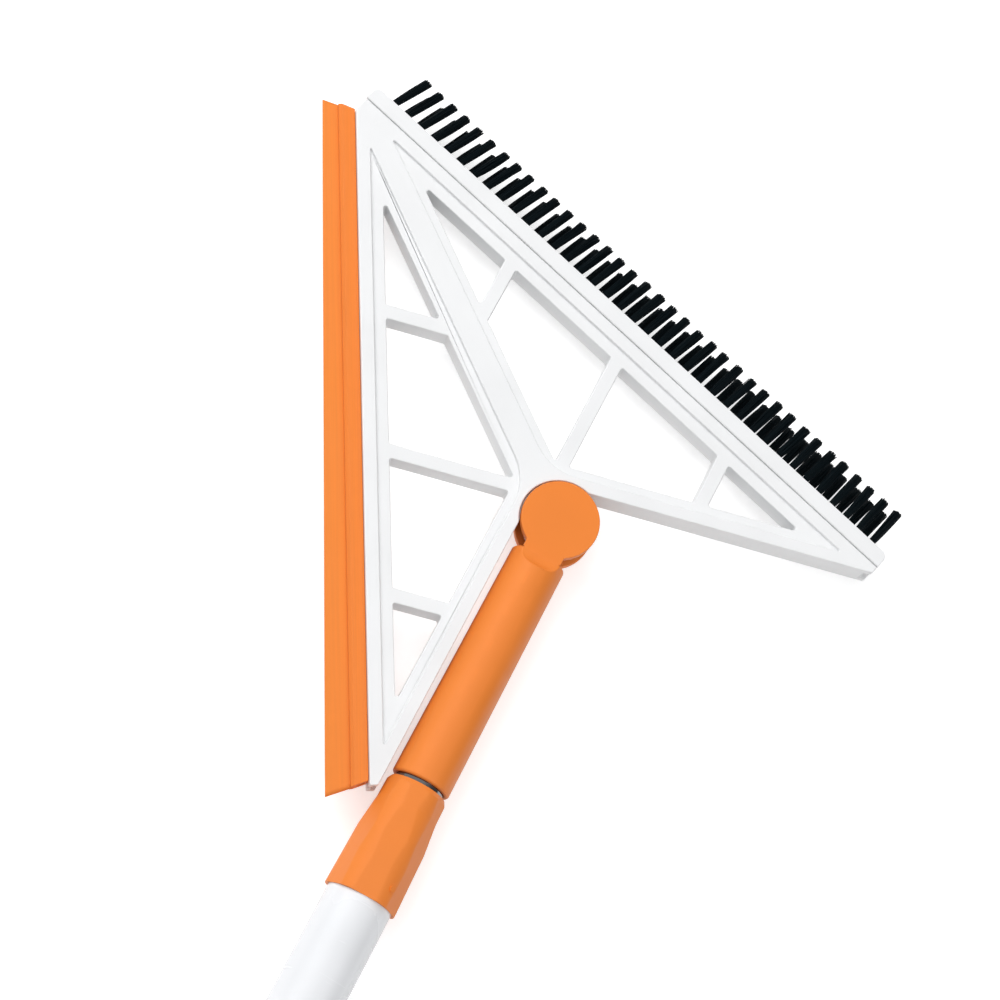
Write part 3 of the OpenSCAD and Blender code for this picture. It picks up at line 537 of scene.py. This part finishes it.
def turned(name, profile, sectors=144, radius_of=None):
    """A part turned on the pole's axis. profile is a closed loop of (radius, y). A point is
    (r sin a, y, r cos a). radius_of(r, y, a), if given, changes the radius, as flats do."""
    profile = np.asarray(profile, float)
    angle = np.linspace(0, 2 * np.pi, sectors, endpoint=False)
    r, a = np.meshgrid(profile[:, 0], angle, indexing="ij")
    y = np.broadcast_to(profile[:, 1:], r.shape)
    if radius_of is not None:
        r = radius_of(r, y, a)
    points = np.stack([r * np.sin(a), y, r * np.cos(a)], axis=-1)
    edge = np.broadcast_to(edge_of_profile(profile)[:, None], r.shape)
    run = np.stack([a * profile[:, :1], y], axis=-1)
    return new_piece(name, points, grid_faces(*r.shape, close_rows=True), edge, run)


def swept_strip(name, rail, outline, start_of, end_of, steps=60, shape=None):
    """A strip along a rail: a closed outline of (d, z), carried from s = start_of(d) to end_of(d).
    shape(d, s, z) may move points. Both ends are closed by one face."""
    outline = np.asarray(outline, float)
    d = np.broadcast_to(outline[:, 0], (steps, len(outline)))
    z = np.broadcast_to(outline[:, 1], d.shape)
    t = np.linspace(0, 1, steps)[:, None]
    s = start_of(d) * (1 - t) + end_of(d) * t
    local = np.stack([d, s, z], axis=-1)
    if shape is not None:
        local = shape(local)
    around = np.concatenate([[0], np.cumsum(np.linalg.norm(np.diff(outline, axis=0), axis=1))])
    run = np.stack([np.broadcast_to(around, d.shape), s], axis=-1)
    edge = np.broadcast_to(edge_of_profile(outline)[None], d.shape)
    cols = len(outline)
    faces = grid_faces(steps, cols).tolist()
    faces += [list(range(cols))[::-1], [(steps - 1) * cols + i for i in range(cols)]]
    piece = new_piece(name, rail.place(local), faces, edge, run)
    face_outwards(piece)
    return piece


def face_outwards(piece):
    """Merges doubled points and turns every face outwards."""
    bm = bmesh.new()
    bm.from_mesh(piece.data)
    bmesh.ops.remove_doubles(bm, verts=bm.verts, dist=1e-7)
    bmesh.ops.recalc_face_normals(bm, faces=bm.faces)
    bm.to_mesh(piece.data)
    bm.free()
    return piece


def flat_shading_at_edges(piece):
    """Keeps big faces flat and lets only the rounded edges turn the light."""
    modifier = piece.modifiers.new("even normals", "WEIGHTED_NORMAL")
    modifier.weight = 80
    modifier.keep_sharp = True
    return piece


# %% Moulded copies of CAD solids
def moulded_copy(name, node, radius_mm, steps=3, sharp_degrees=32):
    """A copy of a CAD node with its triangles merged into whole faces and every edge sharper than
    sharp_degrees rounded. Each point gets its edge value from how far its faces' normals differ."""
    mesh = frame["nodes"][node].data.copy()
    mesh.name = name
    bm = bmesh.new()
    bm.from_mesh(mesh)
    bmesh.ops.remove_doubles(bm, verts=bm.verts, dist=2e-6)
    bmesh.ops.dissolve_limit(bm, angle_limit=math.radians(0.4), verts=bm.verts, edges=bm.edges)
    limit = math.radians(sharp_degrees)
    sharp = [e for e in bm.edges if e.is_manifold and e.calc_face_angle(0) > limit]
    bmesh.ops.bevel(bm, geom=sharp, offset=radius_mm * MM, offset_type="OFFSET", segments=steps,
                    profile=0.5, affect="EDGES", clamp_overlap=False, material=-1)
    bmesh.ops.remove_doubles(bm, verts=bm.verts, dist=1e-6)
    bmesh.ops.recalc_face_normals(bm, faces=bm.faces)
    bm.to_mesh(mesh)
    bm.free()
    mesh.shade_smooth()
    faces = len(mesh.polygons)
    normals, areas = np.empty(faces * 3), np.empty(faces)
    starts, totals = np.empty(faces, int), np.empty(faces, int)
    mesh.polygons.foreach_get("normal", normals)
    mesh.polygons.foreach_get("area", areas)
    mesh.polygons.foreach_get("loop_start", starts)
    mesh.polygons.foreach_get("loop_total", totals)
    corners = np.empty(len(mesh.loops), int)
    mesh.loops.foreach_get("vertex_index", corners)
    of_face = np.repeat(np.arange(faces), totals)
    total = np.zeros((len(mesh.vertices), 3))
    np.add.at(total, corners, normals.reshape(-1, 3)[of_face])
    count = np.bincount(corners, minlength=len(mesh.vertices)).clip(1)
    spread = 1 - np.linalg.norm(total, axis=1) / count
    values = mesh.attributes.new("edge", "FLOAT", "POINT")
    values.data.foreach_set("value", np.clip(spread * 30, 0, 1).astype(np.float32))
    piece = bpy.data.objects.new(name, mesh)
    bpy.context.scene.collection.objects.link(piece)
    flat_shading_at_edges(piece)
    return piece


# %% [markdown]
# ## Head frame
# The head is one moulding: raised bands along the rails, the spine and the arms, thinner webs round
# eight openings, and a disc for the pivot. The copy of its solid gets edges of about half a
# millimetre, which is what catches the light on a real moulding.

# %% Head frame
head = moulded_copy("head_moulding", "head_frame", 0.45)
finish_piece(head, ["head_frame"], "head", "white_plastic")

# %% [markdown]
# ## Brush block
# The white strip that holds the bristles slides into the rail. It has rounded ends and one drilled
# hole for each tuft, so a copy of its solid with small edges is closer than a new mesh.

# %% Brush block
block = moulded_copy("brush_strip", "brush_block", 0.25, steps=2)
finish_piece(block, ["brush_block"], "head", "white_plastic")

# %% [markdown]
# ## Tufts of bristles
# A tuft is a bundle of nylon filaments folded over a wire anchor. Its filaments leave the hole
# nearly parallel, splay a little and end at slightly different heights. Every filament of a row is
# one slim tapered tube, and all of them are worked out together: for each, a middle line from root
# to tip with a small bend, and round it a ring of a few points.

# %% Find the tufts in the frame
def islands(node):
    """A number for each vertex, the same for all vertices of one loose solid: every vertex takes
    the lowest number among its neighbours until nothing changes."""
    mesh = frame["nodes"][node].data.copy()
    bm = bmesh.new()
    bm.from_mesh(mesh)
    bmesh.ops.remove_doubles(bm, verts=bm.verts, dist=2e-6)
    bm.to_mesh(mesh)
    bm.free()
    ends = np.empty(len(mesh.edges) * 2, int)
    mesh.edges.foreach_get("vertices", ends)
    ends = ends.reshape(-1, 2)
    points = np.empty(len(mesh.vertices) * 3)
    mesh.vertices.foreach_get("co", points)
    bpy.data.meshes.remove(mesh)
    label = np.arange(len(points) // 3)
    while True:
        low = np.minimum(label[ends[:, 0]], label[ends[:, 1]])
        new = label.copy()
        np.minimum.at(new, ends[:, 0], low)
        np.minimum.at(new, ends[:, 1], low)
        if (new == label).all():
            return points.reshape(-1, 3), label
        label = new


def tufts(node):
    """Root centre, tip centre, root radius and tip radius of every tuft, in (d, s, z)."""
    points, label = islands(node)
    local = brush_side.local(points)
    block_face = brush_side.box("brush_block")[1][0]
    rows = []
    for number in np.unique(label):
        one = local[label == number]
        free = one[one[:, 0] > block_face - 1.0 * MM]
        root = free[free[:, 0] < block_face + 1.0 * MM]
        tip = one[one[:, 0] > one[:, 0].max() - 2.2 * MM]
        root_z, tip_z = np.ptp(root[:, 2]) / 2, np.ptp(tip[:, 2]) / 2
        rows.append(np.concatenate([root.mean(0), (tip.min(0) + tip.max(0)) / 2, [root_z, tip_z]]))
    rows = np.array(rows)
    return rows[np.argsort(-rows[:, 1])]


front_tufts, rear_tufts = tufts("bristles_front"), tufts("bristles_rear")
print("tufts:", len(front_tufts), "in front,", len(rear_tufts), "behind")


# %% Filaments
def filament_row(name, node, rows, seed, per_tuft=84, sides=4, rings=5, thick=0.36 * MM):
    """Tubes for every filament of a row. Filament k of a tuft starts on a sunflower disc, at
    radius R sqrt(k / n) and angle k times the golden angle, and its middle line is
    root + (tip - root) t + bend t (1 - t) + splay t t."""
    random = np.random.default_rng(seed)
    n = len(rows)
    k = np.arange(per_tuft)
    golden = np.pi * (3 - np.sqrt(5))
    spread = np.sqrt((k + 0.5) / per_tuft)[None] * np.ones((n, 1))
    turn = golden * k[None] + random.uniform(0, 2 * np.pi, (n, 1))
    flat = np.zeros((n, per_tuft))
    disc = np.stack([flat, spread * np.cos(turn), spread * np.sin(turn)], axis=-1)
    root = rows[:, None, 0:3] + disc * (rows[:, None, 6:7] - thick * 0.5)
    tip = rows[:, None, 3:6] + disc * (rows[:, None, 7:8] - thick * 0.6)
    length = rows[:, 3:4] - rows[:, 0:1]
    ragged = np.abs(random.normal(0, 0.012, (n, per_tuft)))
    ragged = ragged + np.abs(random.normal(0, 0.014, (n, 1)))
    tilt = random.normal(0, 0.22 * MM, (n, 1, 2)) * np.array([1.0, 0.4])
    share = np.clip(1 - ragged - 0.004, 0.9, 0.996)[..., None]
    tip = root + (tip - root) * share
    tip[..., 1:] += tilt
    root[..., 0] -= 0.8 * MM
    t = np.linspace(0, 1, rings)[:, None]
    bend = random.normal(0, 0.16 * MM, (n, per_tuft, 3)) * np.array([0, 1, 1])
    splay = random.normal(0, 0.10 * MM, (n, per_tuft, 3)) * np.array([0, 1, 1])
    line = (root[:, :, None] + (tip - root)[:, :, None] * t + bend[:, :, None] * 4 * t * (1 - t)
            + splay[:, :, None] * t * t)
    a = np.linspace(0, 2 * np.pi, sides, endpoint=False)
    ring = np.stack([np.zeros(sides), np.cos(a), np.sin(a)], axis=-1)
    slim = thick / 2 * np.array([1.0, 1.0, 0.98, 0.94, 0.8])[:rings, None, None]
    points = line[:, :, :, None] + ring * slim
    half = rows[:, None, None, None, 7] + 0 * points[..., 2]
    z0 = rows[:, None, None, None, 5]
    points[..., 2] = np.clip(points[..., 2], z0 - half + 0.01 * MM, z0 + half - 0.01 * MM)
    count = n * per_tuft
    tube = grid_faces(rings, sides)
    caps = np.array([[3, 2, 1, 0], np.arange(4) + (rings - 1) * sides])
    one = np.concatenate([tube, caps])
    faces = (one[None] + (np.arange(count) * rings * sides)[:, None, None]).reshape(-1, 4)
    distance = np.broadcast_to((t[:, :1] * length.mean()), (rings, sides))
    run = np.stack([np.broadcast_to(a * thick / 2, (rings, sides)), distance], axis=-1)
    run = np.broadcast_to(run, (count, rings, sides, 2)) + random.uniform(0, 1, (count, 1, 1, 2))
    edge = np.broadcast_to(np.clip(t - 0.75, 0, 1) * 4, (count, rings, sides))
    piece = new_piece(name, brush_side.place(points), faces, edge, run)
    return finish_piece(piece, [node], "head", "black_bristle")


filament_row("front_filaments", "bristles_front", front_tufts, seed=11)
filament_row("rear_filaments", "bristles_rear", rear_tufts, seed=12)

# %% [markdown]
# ## Blade holder and rubber blade
# The holder is an extruded strip with bevelled edges. The rubber is a soft lip that gets thinner
# towards its wiping edge and narrower towards the apex, and its ends lean outwards. The lip's
# outline is carried along the rail, and each end follows its own slant.

# %% Blade holder
holder = moulded_copy("blade_rail", "blade_holder", 0.18, steps=3, sharp_degrees=25)
local = blade_side.local(np.array([v.co for v in holder.data.vertices]))
corners = np.empty(len(holder.data.loops), int)
holder.data.loops.foreach_get("vertex_index", corners)
run = np.stack([local[:, 0] + local[:, 2], local[:, 1]], axis=-1)
run_layer = holder.data.uv_layers.new(name="run")
run_layer.data.foreach_set("uv", run[corners].astype(np.float32).ravel())
finish_piece(holder, ["blade_holder"], "head", "orange_holder")

# %% Rubber blade
lip_points = blade_side.local(node_points("rubber_blade"))
lip_root = blade_side.box("blade_holder")[1][0]
foot_corner = lip_points[np.argmax(lip_points[:, 0])]
top_corner = lip_points[np.argmax(lip_points[:, 1])]
bead_d = lip_points[:, 0].min()
bead = lip_points[lip_points[:, 0] < bead_d + 0.05 * MM]
bead_foot, bead_top = bead[:, 1].min(), bead[:, 1].max()
outer_points = lip_points[lip_points[:, 0] > lip_root - 1.5 * MM]
edge_half = np.abs(outer_points[outer_points[:, 0] > foot_corner[0] - 0.2 * MM][:, 2]).max()
root_half = np.abs(outer_points[:, 2]).max()
LIP_IN = 2.4 * MM
EDGE_ROUND = 0.12 * MM
lip_edge = foot_corner[0]
ROOT_ROUND = 0.5 * MM
INNER_ROUND = 0.1 * MM
lip_outline = arc_corners(
    [(lip_root - LIP_IN, -root_half), (lip_root, -root_half), (lip_edge, -edge_half),
     (lip_edge, edge_half), (lip_root, root_half), (lip_root - LIP_IN, root_half)],
    [INNER_ROUND, ROOT_ROUND, EDGE_ROUND, EDGE_ROUND, ROOT_ROUND, INNER_ROUND])
top_share = (top_corner[0] - lip_root) / (lip_edge - lip_root)
print("lip widths mm, foot and top:", (lip_edge - lip_root) / MM, (top_corner[0] - lip_root) / MM,
      "half thickness at root and edge:", root_half / MM, edge_half / MM)


def lip_foot(d):
    """The foot's slant: straight from the bead to the wiping edge's corner."""
    return np.interp(d, [bead_d, lip_edge], [bead_foot, foot_corner[1]])


def lip_top(d):
    """The top's slant, where the lip is narrower by top_share."""
    narrower = np.where(d > lip_root, lip_root + (d - lip_root) * top_share, d)
    return np.interp(narrower, [bead_d, top_corner[0]], [bead_top, top_corner[1]])


def soft_waves(local):
    """Narrows the lip from foot to top, and bows it, as rubber is never quite straight, by
    w sin(s / 21 mm) + w/2 sin(s / 8 mm) times how far out it is, where w is 0.05 mm."""
    reach = np.clip((local[..., 0] - lip_root) / (lip_edge - lip_root), 0, 1)
    along = np.linspace(0, 1, len(local))[:, None]
    width = (lip_edge - lip_root) * (1 + (top_share - 1) * along)
    local[..., 0] = np.where(reach > 0, lip_root + reach * width, local[..., 0])
    wave = 0.05 * np.sin(local[..., 1] / (21 * MM)) + 0.025 * np.sin(local[..., 1] / (8 * MM) + 1)
    local[..., 2] += wave * MM * reach
    return local


lip = swept_strip("wiping_lip", blade_side, lip_outline, lip_foot, lip_top,
                  steps=160, shape=soft_waves)
finish_piece(lip, ["rubber_blade"], "head", "orange_rubber")

# %% [markdown]
# ## Handle
# The handle is one moulding: two round ears on narrow necks, scooped into a slightly flared sleeve.
# A copy of its solid with small round edges keeps the scoops true.

# %% Handle
handle = moulded_copy("handle_moulding", "handle_sleeve", 0.32, steps=4, sharp_degrees=24)
finish_piece(handle, ["handle_sleeve"], "handle", "orange_plastic")

# %% [markdown]
# ## Twist collar
# The collar has six flat faces, deepest where it flares and at its neck. Its radius at each height
# is the smaller of the round profile and the flats' distance over the cosine of the angle, taken
# with a soft minimum so that the faces end in slightly rounded lines.

# %% Twist collar
collar_low, collar_high = (np.array(corner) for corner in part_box("twist_collar"))
collar_foot, collar_top, collar_r = collar_low[1], collar_high[1], collar_high[0]
outer_tube_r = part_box("outer_tube")[1][0]
inner_tube_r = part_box("inner_tube")[1][0]
SOCKET = 14 * MM
FLATS = 6
FLARE_END = collar_top - 20 * MM
NECK_START = collar_top - 8.5 * MM
BEVEL_START = collar_top - 1.6 * MM
SLIP = 0.05 * MM
neck_r = inner_tube_r + 2.3 * MM
mouth_r = inner_tube_r + 0.25 * MM
collar_loop = arc_corners(
    [(mouth_r, collar_foot + SOCKET), (outer_tube_r + SLIP, collar_foot + SOCKET),
     (outer_tube_r + SLIP, collar_foot), (collar_r, collar_foot),
     (outer_tube_r + 0.6 * MM, FLARE_END), (neck_r, NECK_START),
     (neck_r - 0.15 * MM, BEVEL_START), (inner_tube_r + 1.3 * MM, collar_top),
     (mouth_r, collar_top)],
    [0, 0, 0.1 * MM, 0.25 * MM, 5 * MM, 3 * MM, 0.3 * MM, 0.15 * MM, 0.1 * MM], steps=7)
flat_levels = [collar_foot, collar_foot + SOCKET, FLARE_END, collar_top]
flat_radii = [outer_tube_r + 0.45 * MM, outer_tube_r + 0.35 * MM, outer_tube_r - 0.25 * MM,
              neck_r - 0.85 * MM]


def with_flats(r, y, a):
    """r, or the flat's distance over cos(angle from its middle), whichever is less, with a soft
    minimum. The bore stays round."""
    flat = np.interp(y, flat_levels, flat_radii)
    off = (a + np.pi / FLATS) % (2 * np.pi / FLATS) - np.pi / FLATS
    limit = flat / np.cos(off)
    soft = 0.03 * MM
    low = 0.5 * (r + limit - np.sqrt((r - limit) ** 2 + soft**2)) + soft * 0.02
    skin = 0.4 * MM
    outside = r > np.where(y > collar_foot + SOCKET - 1e-6, mouth_r + skin, outer_tube_r + skin)
    return np.where(outside, low, r)


def dense(profile, step):
    """The same closed line with extra points, so that no side is longer than step."""
    following = np.roll(profile, -1, axis=0)
    parts = [a + (b - a) * np.linspace(0, 1, max(1, int(np.ceil(np.linalg.norm(b - a) / step))),
                                       endpoint=False)[:, None] for a, b in zip(profile, following)]
    return np.concatenate(parts)


collar = turned("collar_moulding", dense(collar_loop, 2.0 * MM), sectors=192, radius_of=with_flats)
face_outwards(collar)
finish_piece(collar, ["twist_collar"], "pole", "orange_plastic")

# %% [markdown]
# ## Tubes
# The outer tube is rolled steel with white paint, and the inner tube is polished steel, darkened as
# painted shade so that it reads as a dark line in the shaded gap between handle and collar. Both are
# thin walls with softly broken ends, so each is a closed loop of wall turned on the axis.


# %% Tubes
def tube(name, node, wall, body, slot, break_mm=0.15):
    """A tube turned from its wall's outline, with its size from the CAD node's box."""
    low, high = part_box(node)
    outer = high[0]
    inner = outer - wall
    wall_corners = [(inner, low[1]), (outer, low[1]), (outer, high[1]), (inner, high[1])]
    loop = arc_corners(wall_corners, [break_mm * MM] * 4, steps=4)
    piece = turned(name, dense(loop, 24 * MM), sectors=160)
    face_outwards(piece)
    return finish_piece(piece, [node], body, slot)


tube("painted_tube", "outer_tube", 0.6 * MM, "pole", "white_paint")
# The inner tube uses the darkened polished steel, whose low base colour is painted shade for the gap between
# handle and collar.
tube("shade_darkened_steel_tube", "inner_tube", 0.7 * MM, "handle", "polished_steel")

# %% [markdown]
# ## Hand grip and end cap
# The grip is a soft sleeve with rings pressed into it, and the cap closes the tube with a flat eye
# to hang it up by. The grip is turned like the tubes, and the cap is a moulded copy.

# %% Hand grip
grip_low, grip_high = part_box("hand_grip")
GRIP_R = min(grip_high[0], grip_high[2], -grip_low[0], -grip_low[2])
grip_len = grip_high[1] - grip_low[1]
GROOVES = 11
GROOVE_DEPTH = 0.8 * MM
GROOVE_R = 1.7 * MM
TAPER = 12 * MM
y = np.linspace(0, grip_len - TAPER, 400)
centres = np.linspace(12 * MM, grip_len - 20 * MM, GROOVES)
near = np.abs(y[:, None] - centres).min(1)
dip = GROOVE_DEPTH * 0.5 * (1 + np.cos(np.pi * np.clip(near / GROOVE_R, 0, 1)))
crown = 0.25 * MM * (1 - np.cos(np.pi * np.clip(near / (5 * MM), 0, 1))) / 2
side = np.stack([GRIP_R - dip - 0.25 * MM + crown, grip_low[1] + y], axis=-1)
bore = outer_tube_r + 0.06 * MM
top_edge = arc_corners(
    [side[-1], (outer_tube_r + 1.2 * MM, grip_high[1]), (bore, grip_high[1]), (bore, grip_low[1]), side[0]],
    [0, 0.7 * MM, 0.2 * MM, 0.2 * MM, 0], steps=6)
grip_loop = np.concatenate([side[2:-1], top_edge[1:-1]])
grip = turned("grip_sleeve", grip_loop, sectors=160)
face_outwards(grip)
finish_piece(grip, ["hand_grip"], "pole", "orange_grip")

# %% End cap
cap = moulded_copy("cap_moulding", "end_cap", 0.6, steps=4, sharp_degrees=30)
finish_piece(cap, ["end_cap"], "pole", "orange_plastic")
